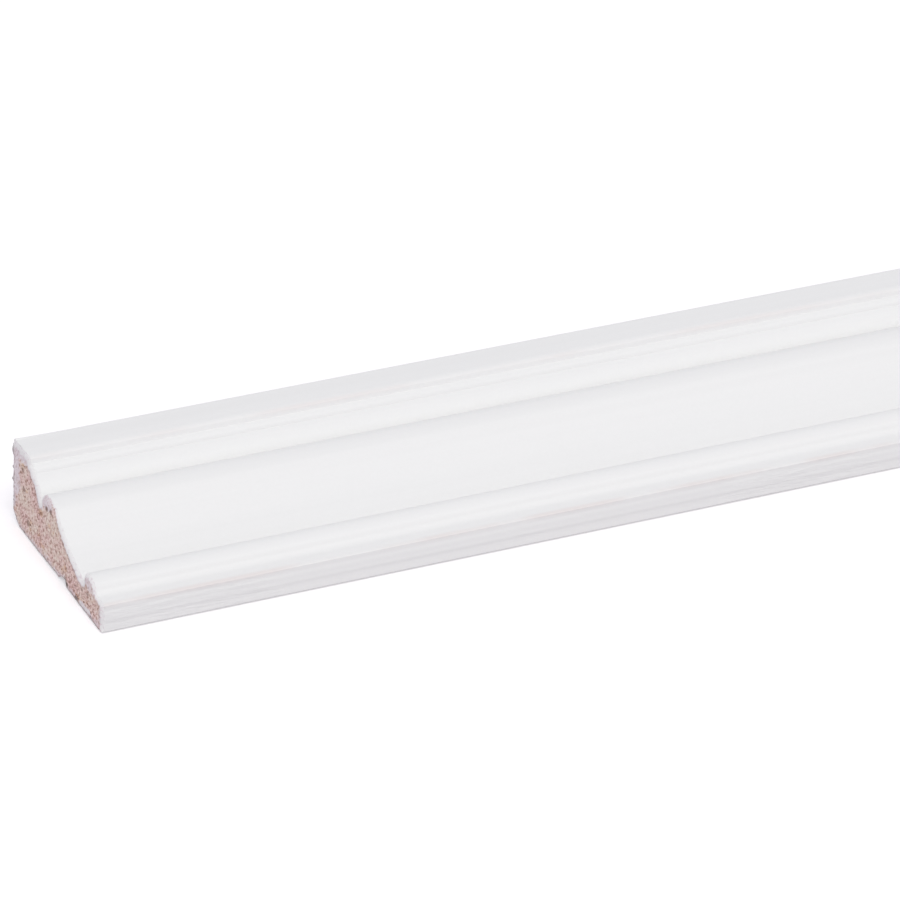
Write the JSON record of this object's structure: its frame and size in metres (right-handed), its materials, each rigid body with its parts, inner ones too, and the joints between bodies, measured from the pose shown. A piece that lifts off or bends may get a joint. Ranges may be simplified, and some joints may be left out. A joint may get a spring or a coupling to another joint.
{
  "type": "pine decorative moulding",
  "caption": "Straight length of white-primed pine trim with a flat back and an ogee face, thick at one long edge and thin at the other, for nailing or gluing to walls, frames and doors.",
  "frame": {"origin": "middle of the flat back face, halfway along the length and halfway across the width", "axes": "+X along the length, +Y across the back towards the thick edge, +Z out of the back towards the moulded face"},
  "size_m": [2.4, 0.055, 0.022],
  "materials": {
    "primed_pine": "white primer on planed pine, bare sawn end grain"
  },
  "bodies": {
    "root": {"moulding": "primed_pine"}
  },
  "joints": []
}
